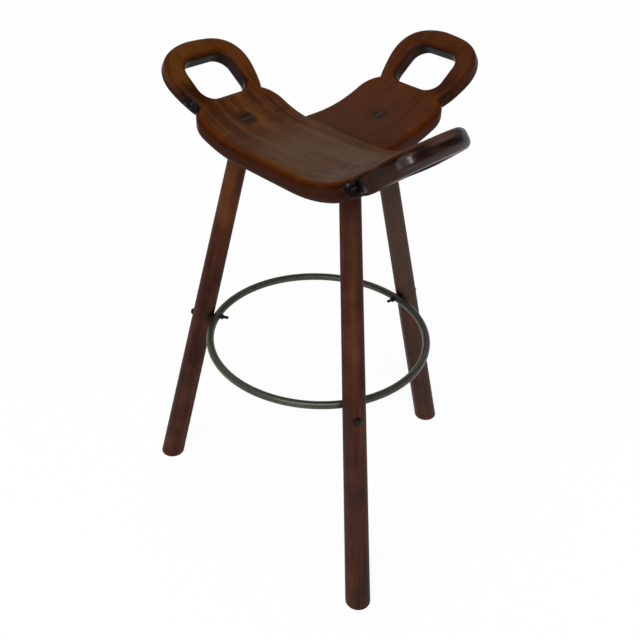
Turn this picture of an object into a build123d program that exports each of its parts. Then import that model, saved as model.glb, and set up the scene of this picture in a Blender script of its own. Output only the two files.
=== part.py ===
from build123d import *
from build123d.topology import SkipClean
from math import atan2, cos, degrees, pi, radians, sin, tan
import os

# Bar stool: a seat plank with a handle at each end, a wing with the third
# handle butted on its long edge, three splayed tapered legs with wedged
# through tenons, and an iron footrest ring bolted inside the legs.
# Millimetres, +Z up. The origin is on the floor, between the three feet.
# The plank runs along X, centred on it, and the wing points to +Y.

# Seat boards
seat_height = 664.0
board_width = 152.0
board_thickness = 28.0
board_edge_radius = 9.8
board_corner_radius = 38.0

# Plank: flat middle, then an upward bend to each handle
plank_flat_half = 53.0
plank_bend_radius = 180.0
plank_shoulder = 160.5
plank_right_rise_deg = 41.0
plank_left_rise_deg = 33.5
plank_setback = 44.5

# Wing, measured from the origin
wing_flat_reach = 51.0
wing_bend_radius = 233.0
wing_shoulder = 180.0
wing_rise_deg = 36.5
wing_root_flare = 12.5

# Handle loops, drawn in the plane of each risen end
handle_half_length = 76.4
handle_half_width = 68.6
handle_centre_past_shoulder = 12.5
handle_roundness_share = 0.85
handle_widening_share = 0.23
handle_hole_half_length = 35.0
handle_hole_half_width = 41.0
handle_hole_corner_radius = 21.0
handle_hole_shift = 9.2
handle_hole_edge_radius = 8.6
handle_outline_points = 16

# Legs: middle of each foot on the floor, and of its top at seat height
leg_places = {
    "back": dict(foot_x=18.0, foot_y=283.5, top_x=5.0, top_y=101.0),
    "left": dict(foot_x=-235.0, foot_y=-140.5, top_x=-106.5, top_y=-54.5),
    "right": dict(foot_x=235.0, foot_y=-134.5, top_x=99.0, top_y=-55.5),
}
foot_diameter = 39.4
leg_top_diameter = 28.8
foot_edge_radius = 2.0
tenon_diameter = 24.0
fit_gap = 0.1

# Wedges that spread the tenons
wedge_thickness = 4.2
wedge_tip_thickness = 1.4
wedge_depth = 20.0

# Hidden dowels across the seam of plank and wing
dowel_diameter = 10.0
dowel_length = 60.0
dowel_half_spacing = 38.0
dowel_end_room = 1.0

# Footrest ring
ring_height = 322.0
ring_rod_diameter = 12.0
ring_seat_gap = 0.3

# Bolts through leg and ring
bolt_diameter = 5.0
bolt_head_diameter = 10.0
bolt_head_height = 3.2
bolt_head_sink = 1.2
bolt_tail = 9.0
bolt_hole_gap = 0.15
nut_across_flats = 8.0
nut_height = 4.0

# Length by which a cutting solid runs past what it cuts
overrun = 30.0

# How far from square a direction may be and still count as square
square_slack_share = 0.01

plank_centre_y = -plank_setback
seam_y = plank_centre_y + board_width / 2

os.makedirs("parts", exist_ok=True)


def save(name, solid):
    export_step(solid, os.path.join("parts", name + ".step"))
    print(name, round(solid.volume))


def face_between(upper, lower):
    """Closed face in the XZ plane between two open chains of edges."""
    left = Edge.make_line(lower[0] @ 0, upper[0] @ 0)
    right = Edge.make_line(upper[-1] @ 1, lower[-1] @ 1)
    return Face(Wire(upper + [right] + lower + [left]))


def bend_curve(flat, radius, rise_deg, reach, offset):
    """The seat's side view: flat, bent up, straight. offset is above the seat surface."""
    rise = radians(rise_deg)
    centre_z = seat_height + radius
    bend = radius - offset
    start = Vector(0, 0, seat_height + offset)
    bend_start = Vector(flat, 0, seat_height + offset)
    bend_middle = Vector(flat + bend * sin(rise / 2), 0, centre_z - bend * cos(rise / 2))
    bend_end = Vector(flat + bend * sin(rise), 0, centre_z - bend * cos(rise))
    run = (reach - flat - radius * sin(rise)) / cos(rise)
    end = bend_end + Vector(run * cos(rise), 0, run * sin(rise))
    return [
        Edge.make_line(start, bend_start),
        Edge.make_three_point_arc(bend_start, bend_middle, bend_end),
        Edge.make_line(bend_end, end),
    ]


def bent_slab(end, lower, upper):
    """Slab between two offsets of the seat surface, wider and longer than any board."""
    reach = end["shoulder"] + handle_centre_past_shoulder + handle_half_length + overrun
    shape = (end["flat"], end["radius"], end["rise"], reach)
    face = face_between(bend_curve(*shape, upper), bend_curve(*shape, lower))
    half_width = board_width
    slab = Solid.extrude(face, Vector(0, 2 * half_width, 0))
    return Pos(0, -half_width, 0) * slab


def handle_plane(end):
    """Plane of a handle loop: x outwards up the slope, y across, z off the seat surface."""
    rise = radians(end["rise"])
    across = end["shoulder"] + handle_centre_past_shoulder
    bend_end_x = end["flat"] + end["radius"] * sin(rise)
    bend_end_z = seat_height + end["radius"] * (1 - cos(rise))
    origin = Vector(across, 0, bend_end_z + (across - bend_end_x) * tan(rise))
    return Plane(origin=origin, x_dir=(cos(rise), 0, sin(rise)), z_dir=(-sin(rise), 0, cos(rise)))


def loop_outline():
    """Rounded loop that widens a little towards its tip."""
    points = []
    for step in range(handle_outline_points):
        turn = 2 * pi * step / handle_outline_points
        along = abs(cos(turn)) ** handle_roundness_share * (1 if cos(turn) > 0 else -1)
        across = abs(sin(turn)) ** handle_roundness_share * (1 if sin(turn) > 0 else -1)
        widening = 1 + handle_widening_share * along
        points.append((handle_half_length * along, handle_half_width * across * widening))
    return make_face(Spline(*points, periodic=True))


def body_outline(end):
    """Plan of half a board, from its root to its rounded shoulders."""
    half = board_width / 2
    root = end["root"]
    shoulder = end["shoulder"]
    flare = end["flare"]
    side_end = shoulder - board_corner_radius
    side_middle = (root + side_end) / 2
    if flare:  # an arc that leaves the straight side smoothly
        near_side = ThreePointArc((side_end, -half), (side_middle, -half - flare / 4), (root, -half - flare))
    else:
        near_side = Line((side_end, -half), (root, -half))
    return make_face(
        near_side
        + Line((root, -half - flare), (root, half))
        + Line((root, half), (side_end, half))
        + RadiusArc((side_end, half), (shoulder, half - board_corner_radius), board_corner_radius)
        + Line((shoulder, half - board_corner_radius), (shoulder, board_corner_radius - half))
        + RadiusArc((shoulder, board_corner_radius - half), (side_end, -half), board_corner_radius)
    )


def is_across(face, direction):
    return abs(face.normal_at().dot(direction)) < square_slack_share


def is_along(edge, direction):
    return abs(edge.tangent_at(0.5).dot(direction)) > 1 - square_slack_share


def rim_edges(walls, direction):
    """Edges of side walls that are not parallel to the walls' own height."""
    edges = []
    for wall in walls:
        edges += [edge for edge in wall.edges() if not is_along(edge, direction)]
    return edges


def shaped_body(end, slab):
    """Half a board under its rounded edges, still open at its root."""
    tall = 2 * seat_height
    body = slab & extrude(body_outline(end), amount=tall)
    up = Vector(0, 0, 1)
    walls = [f for f in body.faces() if is_across(f, up) and f.center().X > end["root"] + fit_gap]
    return fillet(rim_edges(walls, up), board_edge_radius)


def shaped_loop(slab, plane):
    """Solid handle loop with rounded edges, before its hand hole."""
    deep = board_thickness + overrun
    loop = slab & extrude(plane * loop_outline(), amount=deep, both=True)
    walls = [f for f in loop.faces() if is_across(f, plane.z_dir)]
    return fillet(rim_edges(walls, plane.z_dir), board_edge_radius)


def risen_end(end):
    """Half a board with its handle loop and hand hole, root at x = 0, pointing to +X."""
    slab = bent_slab(end, -board_thickness, 0)
    plane = handle_plane(end)
    blank = shaped_body(end, slab) + shaped_loop(slab, plane)
    deep = board_thickness + overrun
    length = 2 * handle_hole_half_length
    width = 2 * handle_hole_half_width
    hole = RectangleRounded(length, width, handle_hole_corner_radius)
    pierced = blank - extrude(plane * Pos(handle_hole_shift, 0) * hole, amount=deep, both=True)
    reach = max(handle_hole_half_length + handle_hole_shift, handle_hole_half_width) + fit_gap
    walls = []
    for face in pierced.faces():
        corners = [plane.to_local_coords(v.center()) for v in face.vertices()]
        inside = all(abs(c.X) < reach and abs(c.Y) < reach for c in corners)
        if inside and is_across(face, plane.z_dir):
            walls.append(face)
    return fillet(rim_edges(walls, plane.z_dir), handle_hole_edge_radius)


right_end = dict(
    flat=plank_flat_half, radius=plank_bend_radius, rise=plank_right_rise_deg,
    shoulder=plank_shoulder, root=0, flare=0,
)
left_end = dict(
    flat=plank_flat_half, radius=plank_bend_radius, rise=plank_left_rise_deg,
    shoulder=plank_shoulder, root=0, flare=0,
)
back_end = dict(
    flat=wing_flat_reach, radius=wing_bend_radius, rise=wing_rise_deg,
    shoulder=wing_shoulder, root=seam_y - board_edge_radius, flare=wing_root_flare,
)
plank_middle = Pos(0, plank_centre_y)
ends = {
    "right": (right_end, plank_middle),
    "left": (left_end, plank_middle * Rot(0, 0, 180)),
    "back": (back_end, Rot(0, 0, 90)),
}


def placed_slab(side, lower, upper):
    end, place = ends[side]
    return place * bent_slab(end, lower, upper)


class Leg:
    """Axis of one leg, z up the leg from its foot, x leaning outwards."""

    def __init__(self, foot_x, foot_y, top_x, top_y):
        foot = Vector(foot_x, foot_y, 0)
        self.axis = Vector(top_x, top_y, seat_height) - foot
        self.length = self.axis.length
        across = self.axis.cross(Vector(0, 0, 1))
        self.frame = Plane(origin=foot, x_dir=self.axis.cross(across), z_dir=self.axis)
        self.upright_share = seat_height / self.length

    def at_height(self, height):
        return self.frame.origin + self.axis * (height / seat_height)

    def radius_at(self, height):
        return (foot_diameter + (leg_top_diameter - foot_diameter) * height / seat_height) / 2

    def half_width_at(self, height):
        """Half the leg's width, measured level in the way that it leans."""
        return self.radius_at(height) / self.upright_share


def rod(frame, radius, start, stop):
    """Cylinder on the z axis of a frame."""
    shape = Cylinder(radius, stop - start, align=(Align.CENTER, Align.CENTER, Align.MIN))
    return frame * Pos(0, 0, start) * shape


def tenon_rod(leg, gap):
    """Round tenon, or the hole for it, from inside the leg to above the seat."""
    start = leg.length - board_thickness - overrun
    return rod(leg.frame, tenon_diameter / 2 + gap, start, leg.length + overrun)


def leg_blank(leg, side):
    """Tapered leg, cut level on the floor and scribed to the seat's underside."""
    height = leg.length + overrun
    low_radius = leg.radius_at(-overrun)
    cone = Cone(low_radius, leg_top_diameter / 2, height, align=(Align.CENTER, Align.CENTER, Align.MIN))
    shape = leg.frame * Pos(0, 0, -overrun) * cone
    shape = split(shape, bisect_by=Plane.XY, keep=Keep.TOP)
    shape = fillet(shape.edges().group_by(Axis.Z)[0], foot_edge_radius)
    return shape - placed_slab(side, -board_thickness - fit_gap, 2 * overrun)


def tenon_top(leg, side):
    """Distance up the leg's axis to the bent surface of the seat."""
    end, place = ends[side]
    top = leg.at_height(seat_height)
    across = (place.inverse() * Pos(top.X, top.Y)).position.X
    past_flat = max(across - end["flat"], 0)
    rise = end["radius"] - (end["radius"] ** 2 - past_flat**2) ** 0.5
    return leg.length + rise / leg.upright_share


def wedge_blank(leg, side):
    """Tapered wedge across the top of a tenon, its length along Y."""
    half_top = wedge_thickness / 2
    half_tip = wedge_tip_thickness / 2
    face = make_face(
        Polyline(
            (-half_top, overrun), (half_top, overrun), (half_top, 0),
            (half_tip, -wedge_depth), (-half_tip, -wedge_depth), (-half_top, 0), close=True,
        )
    )
    frame = leg.frame
    top = frame.from_local_coords(Vector(0, 0, tenon_top(leg, side)))
    across = Vector(0, 1, 0).cross(frame.z_dir)
    plane = Plane(origin=top, x_dir=across, z_dir=across.cross(frame.z_dir))
    return extrude(plane * face, amount=tenon_diameter, both=True)


class Fixing:
    """Sizes of the bolt, and of the ring behind it, along the bolt of one leg."""

    def __init__(self, leg):
        middle = leg.at_height(ring_height)
        out = middle - ring_centre
        half_width = leg.half_width_at(ring_height)
        self.frame = Plane(origin=ring_centre, x_dir=out.cross(Vector(0, 0, 1)), z_dir=out)
        self.leg_middle = out.length
        self.head_seat = out.length + half_width - bolt_head_sink
        self.nut_seat = ring_radius - ring_rod_diameter / 2 - fit_gap
        self.end = self.nut_seat - nut_height - bolt_tail


def bolted_leg(leg, side, tenon, wedge):
    """Leg with its tenon, less the kerf for the wedge and the hole for the bolt."""
    fixing = Fixing(leg)
    outside = fixing.head_seat + overrun
    shank_hole = rod(fixing.frame, bolt_diameter / 2 + bolt_hole_gap, fixing.end, outside)
    head_hole = rod(fixing.frame, bolt_head_diameter / 2 + fit_gap, fixing.head_seat, outside)
    return leg_blank(leg, side) + tenon - wedge - shank_hole - head_hole


def bolt(fixing):
    """Bolt with a domed head outside the leg, its shank pointing inwards."""
    shank = rod(fixing.frame, bolt_diameter / 2, fixing.end, fixing.head_seat)
    head_half = bolt_head_diameter / 2
    dome_radius = (head_half**2 + bolt_head_height**2) / (2 * bolt_head_height)
    ball = Pos(0, 0, bolt_head_height - dome_radius) * Sphere(dome_radius)
    dome = split(ball, bisect_by=Plane.XY, keep=Keep.TOP)
    return shank + fixing.frame * Pos(0, 0, fixing.head_seat) * dome


def nut(fixing):
    hexagon = RegularPolygon(nut_across_flats / 2, 6, major_radius=False)
    bore = Circle(bolt_diameter / 2 + fit_gap)
    seated = fixing.frame * Pos(0, 0, fixing.nut_seat - nut_height)
    return seated * extrude(hexagon - bore, amount=nut_height)


def bored_ring():
    """Round rod bent to a circle, made in one bored arc behind each leg."""
    arcs = []
    for leg in legs.values():
        fixing = Fixing(leg)
        hole = rod(fixing.frame, bolt_diameter / 2 + bolt_hole_gap, fixing.end, fixing.leg_middle)
        turn_deg = degrees(atan2(fixing.frame.z_dir.Y, fixing.frame.z_dir.X))
        arcs.append((turn_deg % 360, hole))
    arcs.sort(key=lambda arc: arc[0])
    turns = [turn for turn, hole in arcs]
    section = Plane.XZ * Pos(ring_radius, 0) * Circle(ring_rod_diameter / 2)
    pieces = []
    for (turn, hole), before, after in zip(arcs, turns[-1:] + turns[:-1], turns[1:] + turns[:1]):
        back = (turn - before) % 360 / 2
        ahead = (after - turn) % 360 / 2
        arc = Rot(0, 0, turn - back) * revolve(section, Axis.Z, back + ahead)
        pieces.append(Pos(ring_centre) * arc - hole)
    with SkipClean():  # the arcs' faces stay apart, because merged they leave no solid
        return pieces[0] + pieces[1:]


def dowel(x, gap, length):
    turned = Pos(x, seam_y, seat_height - board_thickness / 2) * Rot(90, 0, 0)
    return turned * Cylinder(dowel_diameter / 2 + gap, length)


# The ring touches the inner side of each leg
legs = {side: Leg(**place) for side, place in leg_places.items()}
leg_circle = ThreePointArc(*[leg.at_height(ring_height) for leg in legs.values()])
ring_centre = leg_circle.arc_center
widest_half = max(leg.half_width_at(ring_height) for leg in legs.values())
ring_radius = leg_circle.radius - widest_half - ring_seat_gap - ring_rod_diameter / 2

# Seat blanks, then the two boards meeting at the seam
blanks = {side: place * risen_end(end) for side, (end, place) in ends.items()}
seam_plane = Plane(origin=(0, seam_y, 0), x_dir=(1, 0, 0), z_dir=(0, 1, 0))
wing = split(blanks["back"], bisect_by=seam_plane, keep=Keep.TOP)
wing_root = split(blanks["back"], bisect_by=seam_plane, keep=Keep.BOTTOM)
plank_space = placed_slab("right", -board_thickness, 0) + placed_slab("left", -board_thickness, 0)
plank = blanks["right"] + blanks["left"] + (wing_root & plank_space)

for side in ("left", "right"):
    plank = plank - tenon_rod(legs[side], fit_gap)
wing = wing - tenon_rod(legs["back"], fit_gap)

dowel_places = {"left": -dowel_half_spacing, "right": dowel_half_spacing}
for side, x in dowel_places.items():
    hole = dowel(x, fit_gap, dowel_length + 2 * dowel_end_room)
    plank = plank - hole
    wing = wing - hole
    save("seam_dowel_" + side, dowel(x, 0, dowel_length))
save("seat_plank", plank)
save("seat_wing", wing)

# Legs, the wedges in their tenons, and what holds the ring
for side, leg in legs.items():
    tenon = tenon_rod(leg, 0) - placed_slab(side, 0, 2 * overrun)
    wedge = wedge_blank(leg, side)
    save("leg_" + side, bolted_leg(leg, side, tenon, wedge))
    save("tenon_wedge_" + side, tenon & wedge)
    save("ring_bolt_" + side, bolt(Fixing(leg)))
    save("ring_nut_" + side, nut(Fixing(leg)))
save("footrest_ring", bored_ring())
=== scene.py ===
# Three-handled bar stool in stained, varnished wood, with a footrest ring of bare iron.
from math import cos, radians, sin
from types import SimpleNamespace

import bmesh
import bpy
from mathutils import Matrix, Vector


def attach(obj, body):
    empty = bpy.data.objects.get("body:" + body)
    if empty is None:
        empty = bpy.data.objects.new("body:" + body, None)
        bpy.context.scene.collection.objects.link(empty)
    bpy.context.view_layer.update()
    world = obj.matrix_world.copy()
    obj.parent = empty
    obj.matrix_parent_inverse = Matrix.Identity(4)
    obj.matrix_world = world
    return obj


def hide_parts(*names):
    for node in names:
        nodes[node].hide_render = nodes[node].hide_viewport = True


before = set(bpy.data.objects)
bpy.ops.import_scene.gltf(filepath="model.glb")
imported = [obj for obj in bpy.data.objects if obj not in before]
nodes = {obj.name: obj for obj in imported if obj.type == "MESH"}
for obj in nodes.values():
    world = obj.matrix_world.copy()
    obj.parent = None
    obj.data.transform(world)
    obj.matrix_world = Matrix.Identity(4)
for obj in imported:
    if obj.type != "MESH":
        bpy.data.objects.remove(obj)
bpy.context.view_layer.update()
print("stool loaded:", len(nodes), "pieces")


class Wire:  # one socket in a shader; sums on it add Math nodes
    def __init__(self, tree, socket=None):
        self.tree, self.socket = tree, socket

    def node(self, kind, settings, plugs, out=0):
        made = self.tree.nodes.new("ShaderNode" + kind)
        for name, value in settings.items():
            if name == "stops":
                fillRamp(made.color_ramp.elements, value)
            else:
                setattr(made, name, value)
        for name, value in plugs.items():
            plug = made.inputs[name]
            if isinstance(value, Wire):
                self.tree.links.new(value.socket, plug)
            elif plug.type == "RGBA":
                plug.default_value = (*value[:3], 1)
            else:
                plug.default_value = value
        return Wire(self.tree, made.outputs[out] if made.outputs else None)

    def out(self, name):  # another output of the same node
        return Wire(self.tree, self.socket.node.outputs[name])

    def math(self, operation, *others):
        return self.node("Math", {"operation": operation}, dict(enumerate((self, *others))))

    def mathAfter(self, operation, other):  # the same with the other value first
        return self.node("Math", {"operation": operation}, {0: other, 1: self})

    def vector(self, operation, other, out="Vector"):
        return self.node("VectorMath", {"operation": operation}, {0: self, 1: other}, out)

    def __add__(self, other):
        return self.math("ADD", other)

    def __sub__(self, other):
        return self.math("SUBTRACT", other)

    def __rsub__(self, other):
        return self.mathAfter("SUBTRACT", other)

    def __mul__(self, other):
        return self.math("MULTIPLY", other)

    def __truediv__(self, other):
        return self.math("DIVIDE", other)

    def __rtruediv__(self, other):
        return self.mathAfter("DIVIDE", other)

    def __abs__(self):
        return self.math("ABSOLUTE")

    __radd__ = __add__
    __rmul__ = __mul__

    def within(self, low, high):
        return self.math("MAXIMUM", low).math("MINIMUM", high)

    def fade(self, start, stop):  # 0 at start, 1 at stop, smooth in between
        ends = {"Value": self, "From Min": start, "From Max": stop}
        return self.node("MapRange", {"interpolation_type": "SMOOTHSTEP"}, ends)


def fillRamp(elements, stops):
    while len(elements) < len(stops):
        elements.new(1)
    for element, (place, colour) in zip(elements, stops):
        element.position, element.color = place, (*colour, 1)


def stained(tone, stops, look):  # the look's colours, laid out at the places in stops
    ramp = [(place, look[name]) for name, place in stops.items()]
    return tone.node("ValToRGB", {"stops": ramp}, {0: tone})


def split(vector):
    x = vector.node("SeparateXYZ", {}, {"Vector": vector})
    return x, x.out("Y"), x.out("Z")


def join(x, y, z):
    return x.node("CombineXYZ", {}, {"X": x, "Y": y, "Z": z})


def size(vector):
    return vector.vector("LENGTH", (0, 0, 0), "Value")


def dot(vector, direction):
    return vector.vector("DOT_PRODUCT", direction, "Value")


def tint(amount, first, second):  # the colour at amount, from first to second
    return amount.node("Mix", {"data_type": "RGBA"}, {0: amount, 6: first, 7: second}, 2)


def cloud(spot, seed, scale, detail, rough):
    plugs = {"Vector": spot, "W": seed, "Scale": scale, "Detail": detail, "Roughness": rough}
    return spot.node("TexNoise", {"noise_dimensions": "4D"}, plugs)


def drawNoises(rows, seed, place, grain=None):  # each row: seed step, scale, detail, roughness
    noise = {}
    for name, (step, scale, detail, rough) in rows.items():
        if isinstance(scale, tuple):  # drawn out along the grain
            spot = join(*(way * fine for way, fine in zip(grain, scale)))
            noise[name] = cloud(spot, seed + step, 1, detail, rough)
        else:
            noise[name] = cloud(place, seed + step, scale, detail, rough)
    return SimpleNamespace(**noise)


def weighted(layers, shares, shift=0):  # sum of the layers that shares names
    parts = [getattr(layers, name) * share for name, share in shares.items()]
    total = sum(parts[1:], parts[0])
    return total + shift if shift else total


def newFinish(name):
    finish = bpy.data.materials.new(name)
    finish.use_nodes = True
    finish.node_tree.nodes.clear()
    return finish, Wire(finish.node_tree)


def coatOver(start, plugs, height, bump):  # bump, shader and output of one finish
    relief = {"Strength": bump["strength"], "Distance": bump["depth"], "Height": height}
    shader = start.node("BsdfPrincipled", {}, {**plugs, "Normal": start.node("Bump", {}, relief)})
    start.node("OutputMaterial", {}, {"Surface": shader})


def dress(nodeName, finish):
    mesh = nodes[nodeName].data
    mesh.materials.clear()
    mesh.materials.append(finish)


def turnAbout(axis, degrees):
    return Matrix.Rotation(radians(degrees), 4, axis)


# Boards: the grain follows each board up its bent ends
seatTop = 0.664
# warmEnd is the end with warm brown handle sides, washSide the side stained past the neck
# the seat's worn colour also holds painted sheen, the handles' grey band is painted sheen, and the
# near-black at the necks also paints shade
boards = {
    "seat_plank": dict(
        finish="plankVarnish", seed=3.1, axis="X", flat=0.053, radius=0.180,
        ahead=41.0, behind=33.5, middle=-0.0445, holes=(0.1935, 0.1922), shoulder=0.1605,
        tenons={(-0.1049, -0.0535, 0): 0.6, (0.0979, -0.0548, 0): 0.0},
        dark=(0.028, 0.007, 0.002), mid=(0.061, 0.018, 0.003), light=(0.097, 0.037, 0.007),
        wornSeatSheen=(0.092, 0.056, 0.037), wornEdge=(0.092, 0.022, 0.002),
        rim=(0.068, 0.014, 0.001), edge=(0.024, 0.005, 0.0005), side=(0.030, 0.006, 0.001),
        under=(0.028, 0.008, 0.004), pooledAndShade=(0.003, 0.001, 0.001),
        handleTop=(0.105, 0.031, 0.004), handleSide=(0.007, 0.002, 0.001),
        handleStreak=(0.025, 0.006, 0.003), sheenGrey=(0.070, 0.055, 0.051),
        handWorn=(0.085, 0.046, 0.033),
        neckStainShade=1.0, holeStain=0.8, polish=0.30, coat=0.07, warmEnd=-1, washSide=-1,
    ),
    "seat_wing": dict(
        finish="wingVarnish", seed=8.4, axis="Y", flat=0.051, radius=0.233,
        ahead=36.5, behind=36.5, middle=0.0, holes=(0.2122, 0.2122), shoulder=0.180,
        tenons={(0.0049, 0.0996, 0): 0.5},
        dark=(0.036, 0.009, 0.003), mid=(0.058, 0.015, 0.004), light=(0.084, 0.024, 0.004),
        wornSeatSheen=(0.060, 0.020, 0.009), wornEdge=(0.088, 0.020, 0.002),
        rim=(0.056, 0.013, 0.002), edge=(0.034, 0.008, 0.002), side=(0.042, 0.011, 0.004),
        under=(0.028, 0.008, 0.004), pooledAndShade=(0.004, 0.002, 0.001),
        handleTop=(0.054, 0.015, 0.005), handleSide=(0.026, 0.006, 0.006),
        handleStreak=(0.042, 0.011, 0.008), sheenGrey=(0.040, 0.018, 0.012),
        handWorn=(0.050, 0.020, 0.012),
        neckStainShade=0.5, holeStain=0.45, polish=0.12, coat=0.04, warmEnd=1, washSide=1,
    ),
}


def boardFrame(start, look):  # where a point is along, across and into a bent board
    place = start.node("TexCoord", {}, {}, "Object")
    x, y, z = split(place)
    nx, ny, nz = split(place.out("Normal"))
    length, width, nLength = (x, y, nx) if look["axis"] == "X" else (y, x, ny)
    isAhead = length.math("GREATER_THAN", 0)
    way = isAhead * 2 - 1
    rise = radians(look["behind"]) + isAhead * radians(look["ahead"] - look["behind"])
    reach = abs(length) - look["flat"]
    drop = seatTop + look["radius"] - z
    turn = reach.math("ARCTAN2", drop).math("MAXIMUM", 0).math("MINIMUM", rise)
    sine, cosine = turn.math("SINE"), turn.math("COSINE")
    along = look["flat"] + look["radius"] * turn + reach * cosine - drop * sine
    across = width - look["middle"]
    return SimpleNamespace(
        place=place, x=x, y=y, way=way, along=along, across=across, signed=along * way,
        edgeward=abs(across), depth=reach * sine + drop * cosine - look["radius"],
        facing=nz * cosine - nLength * way * sine,  # 1 on the top, 0 on the sides, -1 underneath
        pastShoulder=along - look["shoulder"], pastNeck=along * way - look["shoulder"],
        handle=along.fade(look["shoulder"] + handle["start"], look["shoulder"] + handle["full"]),
    )


boardGrain = dict(
    noises={
        "fibres": (0, (11, 620, 620), 4, 0.6), "figure": (1, (5, 85, 85), 3, 0.55),
        "patches": (2, 19, 4, 0.55), "wander": (3, (4, 9, 9), 2, 0.4), "mottle": (4, 75, 4, 0.6),
        "pores": (5, (90, 1500, 1500), 2, 0.5), "sideLines": (6, (9, 9, 120), 3, 0.5),
        "drips": (7, 150, 2, 0.5),
    },
    pores=(0.62, 0.72), poreStain=0.4, ragged=0.016,
    pithDepth=0.055, ringWidth=0.0075, ringWander=1.6, ringTurn=6.28,
    tone=dict(figure=0.40, patches=0.40, mottle=0.26, fibres=0.12, rings=0.06), toneShift=-0.12,
    stops=dict(dark=0.36, mid=0.5, light=0.64),
)


def boardNoises(at, seed):
    grain = boardGrain
    noise = drawNoises(grain["noises"], seed, at.place, (at.signed, at.across, at.depth))
    noise.pores = noise.pores.fade(*grain["pores"])
    noise.ragged = (noise.mottle - 0.5) * grain["ragged"]
    pithGap = size(join(at.across, at.depth + grain["pithDepth"], 0))
    turns = pithGap / grain["ringWidth"] + noise.wander * grain["ringWander"]
    noise.rings = (turns * grain["ringTurn"]).math("SINE") * 0.5 + 0.5
    return noise


seatWear = dict(
    middle=0.06, along=(0.150, 0.050), across=(0.074, 0.040), everywhere=0.2,
    patches=(0.34, 0.60), patchShare=0.40, figure=(0.36, 0.60), figureShare=0.35,
)


def seatWearAndSheen(at, noise):  # how far the stain is worn where people sit; the pale colour laid there also holds a painted sheen
    wear = abs(at.signed - seatWear["middle"]).fade(*seatWear["along"])
    wear = wear * at.edgeward.fade(*seatWear["across"])
    patches = noise.patches.fade(*seatWear["patches"]) * seatWear["patchShare"]
    figure = noise.figure.fade(*seatWear["figure"]) * seatWear["figureShare"]
    return wear * (patches + figure + seatWear["everywhere"])


tenonRim = dict(
    halo=(0.024, 0.014), haloRagged=0.008,
    crackRadius=0.0126, crack=(0.0013, 0.0003), crackRagged=0.08, patches=(0.36, 0.56), share=0.55,
)


def markTenons(at, noise, look, colour):  # a dark halo and a broken crack round each tenon
    for middle, stain in look["tenons"].items():
        gap = size(at.place.vector("SUBTRACT", middle).vector("MULTIPLY", (1, 1, 0)))
        halo = (gap + noise.mottle * tenonRim["haloRagged"]).fade(*tenonRim["halo"])
        colour = tint(halo * stain, colour, look["edge"])
        crack = abs(gap + noise.ragged * tenonRim["crackRagged"] - tenonRim["crackRadius"])
        crack = crack.fade(*tenonRim["crack"]) * noise.patches.fade(*tenonRim["patches"])
        colour = tint(crack * tenonRim["share"], colour, look["pooledAndShade"])
    return colour


handle = dict(
    start=0.006, full=0.036, topShare=0.5, side=(0.93, 0.4), notUnder=(-0.9, -0.5),
    lines=(0.44, 0.66), warmDepth=(0.020, 0.007), warmShare=0.6, tip=(0.066, 0.088),
    wornAcross=(0.036, 0.012), wornLines=(0.34, 0.60), wornShare=0.85,
    greyDepth=(0.018, 0.024), greyRagged=0.15, greyLines=0.6, greyLeast=0.4, greyShare=0.7,
)


def handleSides(at, noise, look):  # streaked, rubbed by hands at the tip ahead, and a painted grey sheen low on the side toward the tip
    lines = noise.sideLines.fade(*handle["lines"])
    streaked = tint(lines, look["handleSide"], look["handleStreak"])
    warm = at.way.fade(0, look["warmEnd"]) * at.depth.fade(*handle["warmDepth"])
    streaked = tint(warm * handle["warmShare"], streaked, look["handleTop"])
    tipward = at.pastNeck.fade(*handle["tip"])
    worn = tipward * at.edgeward.fade(*handle["wornAcross"])
    worn = worn * noise.sideLines.fade(*handle["wornLines"])
    streaked = tint(worn * handle["wornShare"], streaked, look["handWorn"])
    # painted sheen: a grey band low on the handle's side toward the tip, standing in for the
    # floor's reflection
    sheenBand = tipward * (at.depth + noise.ragged * handle["greyRagged"]).fade(*handle["greyDepth"])
    sheenBand = (sheenBand * (noise.sideLines * handle["greyLines"] + handle["greyLeast"])).within(0, 1)
    return tint(sheenBand * handle["greyShare"], streaked, look["sheenGrey"])


boardEdge = dict(
    stops=dict(under=0.34, side=0.48, edge=0.72, rim=0.93), top=(0.86, 0.985),
    worn=dict(mottle=0.5, patches=0.6), wornRange=(0.50, 0.72),
    wornFacing=(-0.3, 0.5), wornShare=0.35,
)


def roundedEdges(at, noise, look):  # darker than the top
    edge = stained(at.facing * 0.5 + 0.5, boardEdge["stops"], look)
    worn = weighted(noise, boardEdge["worn"]).fade(*boardEdge["wornRange"])
    worn = worn * at.facing.fade(*boardEdge["wornFacing"])
    edge = tint(worn * boardEdge["wornShare"], edge, look["wornEdge"])
    onSide = at.handle * at.facing.fade(*handle["side"]) * at.facing.fade(*handle["notUnder"])
    return tint(onSide, edge, handleSides(at, noise, look))


neck = dict(
    poolShadeShift=0.003, poolShadeAlong=(0.027, 0.010), poolShadeDepth=(0.029, 0.021),
    poolShadeAcross=(0.038, 0.050), poolShadeFacing=(0.95, 0.40),
    wornShift=0.010, wornAlong=(0.022, 0.004), wornAcross=(0.040, 0.058), wornFacing=(0.2, 0.6),
    worn=dict(patches=0.7, mottle=0.6), wornRange=(0.4, 0.7), wornShare=0.8,
    washShift=-0.012, washAlong=(0.032, 0.006), washAcross=(0.029, 0.046),
    washPatches=0.6, washLeast=0.6,
)


def wornNeck(at, noise):  # the rim before each neck
    worn = abs(at.pastShoulder + neck["wornShift"]).fade(*neck["wornAlong"])
    worn = worn * at.edgeward.fade(*neck["wornAcross"]) * at.facing.fade(*neck["wornFacing"])
    return worn * weighted(noise, neck["worn"]).fade(*neck["wornRange"]) * neck["wornShare"]


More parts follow.
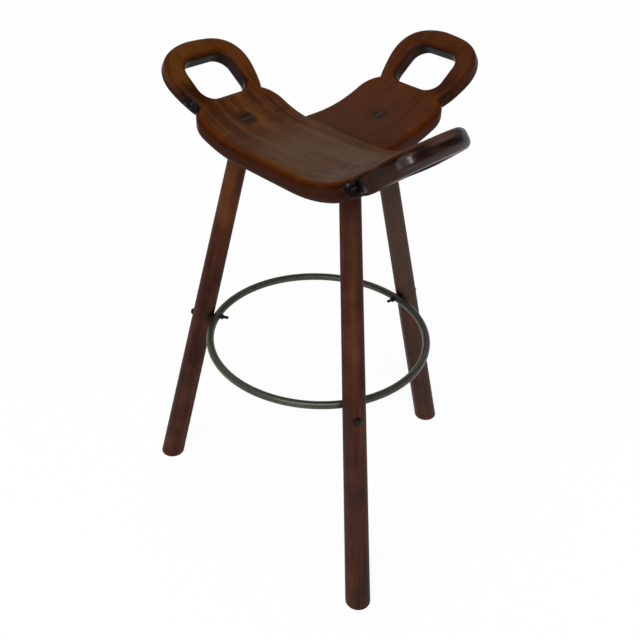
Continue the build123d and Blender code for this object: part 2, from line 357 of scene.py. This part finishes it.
def neckPoolShade(at, noise, look):  # varnish that ran together where the board narrows, and painted shade in the pocket there
    poolShade = (abs(at.pastShoulder + neck["poolShadeShift"]) + noise.ragged).fade(*neck["poolShadeAlong"])
    poolShade = poolShade * at.depth.fade(*neck["poolShadeDepth"]) * at.edgeward.fade(*neck["poolShadeAcross"])
    return poolShade * at.facing.fade(*neck["poolShadeFacing"]) * look["neckStainShade"]


def neckWash(at, noise, look):  # thin stain past the neck, on one side
    wash = abs(at.pastShoulder + neck["washShift"]).fade(*neck["washAlong"])
    wash = wash * (at.across * look["washSide"]).fade(*neck["washAcross"])
    return (wash * (noise.patches * neck["washPatches"] + neck["washLeast"])).within(0, 1)


handHole = dict(
    halfLength=0.035, halfWidth=0.041, ragged=0.3, edge=(0.0085, 0.003), facing=(0.85, 0.05),
    endStain=0.9, sideways=(0.030, 0.040),
)


def holeStain(at, noise, look):  # on the walls of each hand hole
    ahead, behind = look["holes"]
    middle = behind + at.way.fade(-1, 1) * (ahead - behind)
    pastLength = abs(at.along - middle) - handHole["halfLength"]
    past = pastLength.math("MAXIMUM", at.edgeward - handHole["halfWidth"])
    inside = (past + noise.ragged * handHole["ragged"]).fade(*handHole["edge"])
    paler = at.edgeward.fade(*handHole["sideways"]) * (handHole["endStain"] - look["holeStain"])
    return inside * at.facing.fade(*handHole["facing"]) * (handHole["endStain"] - paler)


seam = dict(
    place=0.0315, width=0.0013, core=0.0002, halfLength=0.076, tail=0.01,
    patches=(0.3, 0.6), patchShare=0.5, least=0.5, colour=(0.010, 0.004, 0.002),
)


def seamLine(at, noise):
    line = abs(at.y - seam["place"]).fade(seam["width"], seam["core"])
    line = line * abs(at.x).fade(seam["halfLength"] + seam["tail"], seam["halfLength"])
    return line * (noise.patches.fade(*seam["patches"]) * seam["patchShare"] + seam["least"])


boardGloss = {"IOR": 1.45, "Specular IOR Level": 0.02, "Coat Roughness": 0.20, "Coat IOR": 1.4}
boardSheen = dict(
    roughness=0.30, patches=(0.3, 0.7), patchShare=0.12, wearShare=0.25,
    under=(-0.1, -0.8), underShare=0.2,
    polish=(0.026, 0.062), drips=(0.48, 0.62), dripShare=0.55, holeShare=0.13,
    relief=dict(fibres=0.3, figure=0.4, pores=-0.5, patches=1.5, seam=-2, lumps=3),
    strength=0.4, depth=0.0006,
)


def varnishedBoard(look):
    finish, start = newFinish(look["finish"])
    at = boardFrame(start, look)
    noise = boardNoises(at, look["seed"])

    tone = weighted(noise, boardGrain["tone"], boardGrain["toneShift"])
    top = stained(tone, boardGrain["stops"], look)
    top = tint(at.handle * handle["topShare"], top, look["handleTop"])
    wear = seatWearAndSheen(at, noise)
    top = markTenons(at, noise, look, tint(wear, top, look["wornSeatSheen"]))
    colour = tint(at.facing.fade(*boardEdge["top"]), roundedEdges(at, noise, look), top)

    # worn and stained places, and painted shade in the neck pockets, one over the other
    poolShade, inHole = neckPoolShade(at, noise, look), holeStain(at, noise, look)
    noise.lumps, noise.seam = poolShade * noise.drips, seamLine(at, noise)
    colour = tint(wornNeck(at, noise), colour, look["wornEdge"])
    colour = tint(neckWash(at, noise, look), colour, look["edge"])
    # near-black: stain on the hole walls, pooled varnish and painted shade at the necks
    colour = tint((poolShade + inHole).within(0, 1), colour, look["pooledAndShade"])
    colour = tint(noise.pores * boardGrain["poreStain"], colour, look["edge"])
    colour = tint(noise.seam, colour, seam["colour"])

    sheen = boardSheen
    roughness = sheen["roughness"] + noise.patches.fade(*sheen["patches"]) * sheen["patchShare"]
    roughness = roughness + wear * sheen["wearShare"]
    roughness = roughness + at.facing.fade(*sheen["under"]) * sheen["underShare"]
    polish = at.pastNeck.fade(*sheen["polish"]) * at.facing.fade(*handle["side"]) * (1 - inHole)
    coat = polish * look["polish"] + poolShade * noise.drips.fade(*sheen["drips"]) * sheen["dripShare"]
    coat = coat + inHole * sheen["holeShare"] + look["coat"]
    plugs = {**boardGloss, "Base Color": colour, "Roughness": roughness, "Coat Weight": coat}
    coatOver(start, plugs, weighted(noise, sheen["relief"]), sheen)
    return finish


for nodeName, look in boards.items():
    dress(nodeName, varnishedBoard(look))
print("seat boards varnished")

# Footrest: each leg's bolt points at the ring's middle
ring = dict(centre=Vector((-0.002556, -0.000812, 0.322)), radius=0.17226)
boltTurns = {"back": 85.837, "left": -150.061, "right": -29.065}

# Legs: stained darker than the seat, streaked up their length
legs = {  # middle of each foot on the floor, and of its top at seat height
    "back": dict(
        foot=(0.018, 0.2835, 0), top=(0.005, 0.101, seatTop), seed=1.7,
        endGrain=(0.018, 0.008, 0.005), dustSheenLow=0.28, dustSheenHigh=0.65, wornTop=0.0,
    ),
    "left": dict(
        foot=(-0.235, -0.1405, 0), top=(-0.1065, -0.0545, seatTop), seed=5.2,
        endGrain=(0.012, 0.004, 0.003), dustSheenLow=0.06, dustSheenHigh=0.0, wornTop=0.8,
    ),
    "right": dict(
        foot=(0.235, -0.1345, 0), top=(0.099, -0.0555, seatTop), seed=9.9,
        endGrain=(0.060, 0.027, 0.012), dustSheenLow=0.12, dustSheenHigh=0.0, wornTop=0.0,
    ),
}
# the dust colour also stands in for the legs' sheen, and the iron stain colour also paints the
# shade between leg and ring
legLook = dict(
    dark=(0.018, 0.005, 0.004), mid=(0.048, 0.014, 0.007), light=(0.082, 0.029, 0.014),
    dustSheen=(0.074, 0.048, 0.038), worn=(0.080, 0.034, 0.018), wornTop=(0.112, 0.036, 0.010),
    ironStainShade=(0.003, 0.001, 0.001), endRim=(0.060, 0.020, 0.005),
    noises={
        "streaks": (0, (4.5, 62, 62), 4, 0.6), "fibres": (1, (14, 700, 700), 3, 0.5),
        "patches": (2, 24, 4, 0.55), "flecks": (3, 420, 3, 0.6),
    },
    tone=dict(streaks=0.68, patches=0.47, fibres=0.2), toneShift=-0.18,
    stops=dict(dark=0.34, mid=0.52, light=0.70),
    roughness=0.40, roughStreaks=(0.3, 0.7), streakShare=0.14, patchShare=0.1,
    relief=dict(streaks=0.5, fibres=0.4, patches=1.0), strength=0.4, depth=0.0005,
)


legWear = dict(
    dustSheenHeight=(0.45, 0.20), dustSheenStreaks=0.8, dustSheenLeast=0.6,
    topHeight=(0.40, 0.60), top=dict(streaks=0.6, patches=0.5), topRange=(0.42, 0.62),
    scuffHeight=(0.05, 0.0), scuffs=dict(patches=0.5, fibres=0.6),
    scuffRange=(0.48, 0.66), scuffShare=0.3,
)


def wornLeg(z, noise, where, colour):  # dust, with a painted grey sheen in it, a rubbed top and scuffs at the foot
    wear, look = legWear, legLook
    # painted sheen: the grey dust colour also stands in for the legs' sheen
    dustSheen = where["dustSheenHigh"] + z.fade(*wear["dustSheenHeight"]) * (where["dustSheenLow"] - where["dustSheenHigh"])
    dustSheen = dustSheen * (noise.streaks * wear["dustSheenStreaks"] + wear["dustSheenLeast"])
    colour = tint(dustSheen, colour, look["dustSheen"])
    rubbed = z.fade(*wear["topHeight"]) * weighted(noise, wear["top"]).fade(*wear["topRange"])
    colour = tint(rubbed * where["wornTop"], colour, look["wornTop"])
    scuffs = weighted(noise, wear["scuffs"]).fade(*wear["scuffRange"])
    scuffs = z.fade(*wear["scuffHeight"]) * scuffs
    return tint(scuffs * wear["scuffShare"], colour, look["worn"])


boltStainShade = dict(
    middleGap=0.19, blur=0.01, ragged=0.014, inside=(0.019, 0.007), outside=(0.009, 0.005),
    outsideShare=0.8, share=0.95,
)


def ironStainShade(place, noise, side):  # iron stain round the bolt, wider on the side facing the ring, where the shade between leg and ring is painted in
    pointing = Vector((cos(radians(boltTurns[side])), sin(radians(boltTurns[side])), 0))
    fromRing = place.vector("SUBTRACT", ring["centre"])
    gap = size(fromRing.vector("CROSS_PRODUCT", pointing))
    gap = gap + (noise.patches - 0.5) * boltStainShade["ragged"]
    middleGap = boltStainShade["middleGap"]
    inside = dot(fromRing, pointing).fade(middleGap + boltStainShade["blur"], middleGap)
    outside = (1 - inside) * gap.fade(*boltStainShade["outside"]) * boltStainShade["outsideShare"]
    stain = inside * gap.fade(*boltStainShade["inside"]) + outside
    return stain.within(0, 1) * boltStainShade["share"]


tenonEnd = dict(
    radius=0.012, ragged=0.004, flecks=(0.4, 0.7), fleckShare=0.5, rim=(0.003, 0.0), rimShare=0.6,
    height=(0.650, 0.656), facing=(0.55, 0.75),
)


def endGrain(across, away, noise, where):  # end of the tenon, its rim lost under the varnish
    ragged = (noise.flecks - 0.5) * tenonEnd["ragged"]
    rimGap = tenonEnd["radius"] - size(join(across, away, 0)) + ragged
    flecks = noise.flecks.fade(*tenonEnd["flecks"]) * tenonEnd["fleckShare"]
    end = tint(flecks, where["endGrain"], legLook["mid"])
    return tint(rimGap.fade(*tenonEnd["rim"]) * tenonEnd["rimShare"], end, legLook["endRim"])


legGloss = {
    "IOR": 1.45, "Specular IOR Level": 0.04,
    "Coat Weight": 0.05, "Coat Roughness": 0.2, "Coat IOR": 1.4,
}


def stainedLeg(side, where):
    finish, start = newFinish(side + "LegStain")
    look, foot = legLook, Vector(where["foot"])
    axis = (Vector(where["top"]) - foot).normalized()
    sideways = axis.cross(Vector((0, 1, 0))).normalized()
    place = start.node("TexCoord", {}, {}, "Object")
    z, nz = split(place)[2], split(place.out("Normal"))[2]
    fromFoot = place.vector("SUBTRACT", foot)
    up, across, away = (dot(fromFoot, way) for way in (axis, sideways, axis.cross(sideways)))
    noise = drawNoises(look["noises"], where["seed"], place, (up, across, away))

    tone = weighted(noise, look["tone"], look["toneShift"]).within(0, 1)
    colour = wornLeg(z, noise, where, stained(tone, look["stops"], look))
    colour = tint(ironStainShade(place, noise, side), colour, look["ironStainShade"])
    onEnd = z.fade(*tenonEnd["height"]) * nz.fade(*tenonEnd["facing"])
    colour = tint(onEnd, colour, endGrain(across, away, noise, where))
    roughness = look["roughness"] + noise.streaks.fade(*look["roughStreaks"]) * look["streakShare"]
    roughness = roughness + noise.patches * look["patchShare"]
    plugs = {**legGloss, "Base Color": colour, "Roughness": roughness}
    coatOver(start, plugs, weighted(noise, look["relief"]), look)
    return finish


for side, where in legs.items():
    dress("leg_" + side, stainedLeg(side, where))
print("legs stained")

# Wedges and dowels: plain wood, the wedges under the seat's varnish
pegs = {
    "wedge": dict(
        pieces=["tenon_wedge_back", "tenon_wedge_left", "tenon_wedge_right"], seed=2.2,
        dark=(0.016, 0.006, 0.004), light=(0.038, 0.016, 0.009), roughness=0.32,
    ),
    "dowel": dict(
        pieces=["seam_dowel_left", "seam_dowel_right"], seed=6.6,
        dark=(0.38, 0.25, 0.14), light=(0.56, 0.41, 0.26), roughness=0.7,
    ),
}
pegGrain = dict(
    noises={"fibres": (0, (700, 60, 60), 4, 0.6), "flecks": (1, 260, 3, 0.6)},
    tone=dict(fibres=0.7, flecks=0.4), toneRange=(0.35, 0.75), roughFlecks=0.12, specular=0.1,
    relief=dict(fibres=0.6, flecks=0.4), strength=0.5, depth=0.0003,
)


def pegWood(name, look):
    finish, start = newFinish(name + "Wood")
    place = start.node("TexCoord", {}, {}, "Object")
    noise = drawNoises(pegGrain["noises"], look["seed"], place, split(place))
    tone = weighted(noise, pegGrain["tone"]).fade(*pegGrain["toneRange"])
    plugs = {
        "Base Color": tint(tone, look["dark"], look["light"]),
        "Roughness": look["roughness"] + noise.flecks * pegGrain["roughFlecks"],
        "Specular IOR Level": pegGrain["specular"],
    }
    coatOver(start, plugs, weighted(noise, pegGrain["relief"]), pegGrain)
    return finish


for name, look in pegs.items():
    grainedWood = pegWood(name, look)
    for piece in look["pieces"]:
        dress(piece, grainedWood)
print("wedges and dowels grained")

# Ring: bare iron, drawn lengthwise
ringLook = dict(
    dark=(0.028, 0.029, 0.022), light=(0.088, 0.085, 0.066), rubbed=(0.19, 0.18, 0.14),
    noises={"scale": (1, 340, 4, 0.7), "patches": (2, 22, 3, 0.5)}, seed=4.4,
    lineWidth=360, drift=7, lineDetail=3, lineRough=0.5,
    tone=dict(lines=0.55, scale=0.45), toneRange=(0.38, 0.62),
    rub=dict(lines=0.4, scale=0.3, patches=0.4), rubRange=(0.60, 0.74), rubShare=0.6,
    metallic=0.7, specular=0.5, roughness=0.32, roughScale=(0.3, 0.7), scaleShare=0.14,
    relief=dict(lines=1.5, scale=1), strength=0.35, depth=0.0004,
)


def rubbedMetal(start, noise, look):
    tone = weighted(noise, look["tone"]).fade(*look["toneRange"])
    rub = weighted(noise, look["rub"]).fade(*look["rubRange"]) * look["rubShare"]
    plugs = {
        "Base Color": tint(rub, tint(tone, look["dark"], look["light"]), look["rubbed"]),
        "Roughness": look["roughness"] + noise.scale.fade(*look["roughScale"]) * look["scaleShare"],
        "Metallic": look["metallic"], "Specular IOR Level": look["specular"],
    }
    coatOver(start, plugs, weighted(noise, look["relief"]), look)


def bareIron(look):
    finish, start = newFinish("ringIron")
    place = start.node("TexCoord", {}, {}, "Object").vector("SUBTRACT", ring["centre"])
    x, y, z = split(place)
    outward = size(place.vector("MULTIPLY", (1, 1, 0))) - ring["radius"]
    fine, drift = look["lineWidth"], look["drift"]
    spot = join(outward * fine + x * drift, z * fine + y * drift, 0)
    noise = drawNoises(look["noises"], look["seed"], place)
    noise.lines = cloud(spot, look["seed"], 1, look["lineDetail"], look["lineRough"])
    rubbedMetal(start, noise, look)
    return finish


dress("footrest_ring", bareIron(ringLook))
print("ring finished")

# Bolts and nuts, turned anew with threads and chamfers
fastener = dict(
    shank=0.0025, thread=0.0004, pitch=0.0008, tail=0.15316, nutSeat=0.16616, headSeat=0.21278,
    headRadius=0.0050, headSide=0.0022, headHeight=0.0052, domeSteps=8,
    nutHeight=0.004, nutAcross=0.008, nutBore=0.0026, nutCorner=0.58,
    chamfer=0.0005, chamferSlope=1.4, around=36, weld=1e-6, sharpAngle=28,
)
fastenerLook = dict(
    dark=(0.002, 0.002, 0.002), light=(0.009, 0.008, 0.007), rubbed=(0.035, 0.030, 0.026),
    noises={"scale": (0, 420, 4, 0.6), "patches": (1, 90, 3, 0.5)}, seed=7.3,
    tone=dict(scale=1), toneRange=(0.35, 0.65),
    rub=dict(patches=0.7, scale=0.5), rubRange=(0.64, 0.82), rubShare=0.5,
    metallic=0.4, specular=0.2, roughness=0.42, roughScale=(0.3, 0.7), scaleShare=0.16,
    relief=dict(scale=1, patches=1), strength=0.35, depth=0.0002,
)


def blackSteel(look):
    finish, start = newFinish("boltBlack")
    place = start.node("TexCoord", {}, {}, "Object")
    rubbedMetal(start, drawNoises(look["noises"], look["seed"], place), look)
    return finish


# outline holds (radius, height) up the middle line; across is a nut's width over its flats
def turned(name, outline, finish, closed, across=None):
    shape, around, halfFlat = bmesh.new(), fastener["around"], radians(30)
    columns = []
    for i in range(around):
        turn = radians(360 * i / around)
        # a nut's flats cut its round outline back to a hexagon
        flat = across / 2 / cos((turn + halfFlat) % (2 * halfFlat) - halfFlat) if across else 1
        column = [(min(radius, flat), height) for radius, height in outline]
        columns.append([shape.verts.new((r * cos(turn), r * sin(turn), h)) for r, h in column])
    for i, column in enumerate(columns):
        after = columns[(i + 1) % around]
        for j in range(len(outline) if closed else len(outline) - 1):
            k = (j + 1) % len(outline)
            shape.faces.new((column[j], after[j], after[k], column[k]))
    bmesh.ops.remove_doubles(shape, verts=shape.verts, dist=fastener["weld"])
    bmesh.ops.recalc_face_normals(shape, faces=shape.faces)
    mesh = bpy.data.meshes.new(name)
    shape.to_mesh(mesh)
    shape.free()
    mesh.shade_smooth()
    mesh.set_sharp_from_angle(angle=radians(fastener["sharpAngle"]))
    mesh.materials.append(finish)
    piece = bpy.data.objects.new(name, mesh)
    bpy.context.collection.objects.link(piece)
    return piece


def boltOutline():
    f = fastener
    root, halfPitch = f["shank"] - f["thread"], f["pitch"] / 2
    outline = [(0, f["tail"]), (root, f["tail"])]
    height = f["tail"] + halfPitch
    while height < f["nutSeat"]:
        outline += [(f["shank"], height), (root, height + halfPitch)]
        height += f["pitch"]
    outline += [(f["shank"], f["nutSeat"]), (f["shank"], f["headSeat"])]
    outline.append((f["headRadius"], f["headSeat"]))
    for i in range(f["domeSteps"]):
        turn = radians(90 * i / f["domeSteps"])
        rise = f["headSide"] + (f["headHeight"] - f["headSide"]) * sin(turn)
        outline.append((f["headRadius"] * cos(turn), f["headSeat"] + rise))
    return outline + [(0, f["headSeat"] + f["headHeight"])]


def nutOutline():
    f = fastener
    chamfer, slope = f["chamfer"], f["chamfer"] * f["chamferSlope"]
    bore, corner = f["nutBore"], f["nutAcross"] * f["nutCorner"]
    low, high = f["nutSeat"] - f["nutHeight"], f["nutSeat"]
    outline = [(bore, low + chamfer), (bore + chamfer, low), (corner - slope, low)]
    outline += [(corner, low + chamfer), (corner, high - chamfer), (corner - slope, high)]
    return outline + [(bore + chamfer, high), (bore, high - chamfer)]


boltBlack = blackSteel(fastenerLook)
for side, degrees in boltTurns.items():
    placed = Matrix.Translation(ring["centre"]) @ turnAbout("Z", degrees) @ turnAbout("Y", 90)
    pieces = {
        "ring_bolt_" + side: turned("bolt." + side, boltOutline(), boltBlack, closed=False),
        "ring_nut_" + side: turned(
            "nut." + side, nutOutline(), boltBlack, closed=True, across=fastener["nutAcross"]
        ),
    }
    for nodeName, piece in pieces.items():
        piece.matrix_world = placed
        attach(piece, "root")
        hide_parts(nodeName)
print("bolts and nuts turned")

# Camera, at the photograph's place
cameraPlace = dict(place=(0.8318, -0.8432, 1.1917), heading=44.64, tilt=54.66, roll=1.84, lens=51.7)


def standCamera(look):
    camera = bpy.data.objects.new("camera", bpy.data.cameras.new("camera"))
    bpy.context.collection.objects.link(camera)
    camera.data.lens = look["lens"]
    camera.matrix_world = (
        Matrix.Translation(look["place"]) @ turnAbout("Z", look["heading"])
        @ turnAbout("X", look["tilt"]) @ turnAbout("Z", look["roll"])
    )
    bpy.context.scene.camera = camera


# Studio: white paper floor and low far wall in a grey room, lit mostly from the camera's side
studio = dict(
    floorRadius=40, floorSides=96, wallHeight=7.6, paper=(0.96, 0.96, 0.96), paperGlow=0.92,
    air=(0.25, 0.25, 0.25),
)
suns = {
    "broadLight": dict(strength=1.88, spread=50, turn=(38, 0, 28)),
    "backLight": dict(strength=0.5, spread=60, turn=(35, 0, -120)),
}
softboxes = {
    "windowLight": dict(
        place=(0.80, -1.95, 1.30), aim=(0.2, -0.1, 0.7), size=(0.50, 0.65), power=5,
    ),
    "glintLight": dict(
        place=(1.486, -1.012, 2.0), aim=(0.2, -0.1, 0.74), size=(0.40, 0.14), power=7.5,
    ),
}


def whitePaper():  # nearly white where it is seen or mirrored, with some shadow left
    finish, start = newFinish("floorPaper")
    paper = start.node("BsdfDiffuse", {}, {"Color": studio["paper"]})
    glow = start.node("Emission", {}, {"Color": (1, 1, 1), "Strength": 1})
    path = start.node("LightPath", {}, {}, "Is Camera Ray")
    mirrored, through = path.out("Is Glossy Ray"), path.out("Is Transmission Ray")
    seen = path.math("MAXIMUM", mirrored).math("MAXIMUM", through)
    mixed = start.node("MixShader", {}, {0: seen * studio["paperGlow"], 1: paper, 2: glow})
    start.node("OutputMaterial", {}, {"Surface": mixed})
    return finish


def layFloor():  # a round floor and the wall at its rim
    sides, edge = studio["floorSides"], Vector((studio["floorRadius"], 0, 0))
    rim = [Matrix.Rotation(radians(360 * i / sides), 3, "Z") @ edge for i in range(sides)]
    lip = [Vector((v.x, v.y, studio["wallHeight"])) for v in rim]
    walls = [(i, (i + 1) % sides, (i + 1) % sides + sides, i + sides) for i in range(sides)]
    mesh = bpy.data.meshes.new("floor")
    mesh.from_pydata(rim + lip, [], [tuple(range(sides))] + walls)
    mesh.materials.append(whitePaper())
    floor = bpy.data.objects.new("floor", mesh)
    bpy.context.collection.objects.link(floor)


def fillAir():
    world = bpy.data.worlds.new("studioAir")
    bpy.context.scene.world = world
    world.use_nodes = True
    world.node_tree.nodes.clear()
    start = Wire(world.node_tree)
    air = start.node("Background", {}, {"Color": studio["air"], "Strength": 1})
    start.node("OutputWorld", {}, {"Surface": air})


def hangLamp(name, kind):
    lamp = bpy.data.objects.new(name, bpy.data.lights.new(name, kind))
    bpy.context.collection.objects.link(lamp)
    return lamp


def lightStudio():
    for name, look in suns.items():
        sun = hangLamp(name, "SUN")
        sun.data.energy, sun.data.angle = look["strength"], radians(look["spread"])
        sun.rotation_euler = [radians(degrees) for degrees in look["turn"]]
    for name, look in softboxes.items():
        lamp, place = hangLamp(name, "AREA"), Vector(look["place"])
        lamp.data.shape, lamp.data.energy = "ELLIPSE", look["power"]
        lamp.data.size, lamp.data.size_y = look["size"]
        lamp.location = place
        lamp.rotation_euler = (Vector(look["aim"]) - place).to_track_quat("-Z", "Y").to_euler()
        lamp.visible_camera = False


standCamera(cameraPlace)
layFloor()
fillAir()
lightStudio()
bpy.context.scene.view_settings.view_transform = "Standard"
print("studio lit")
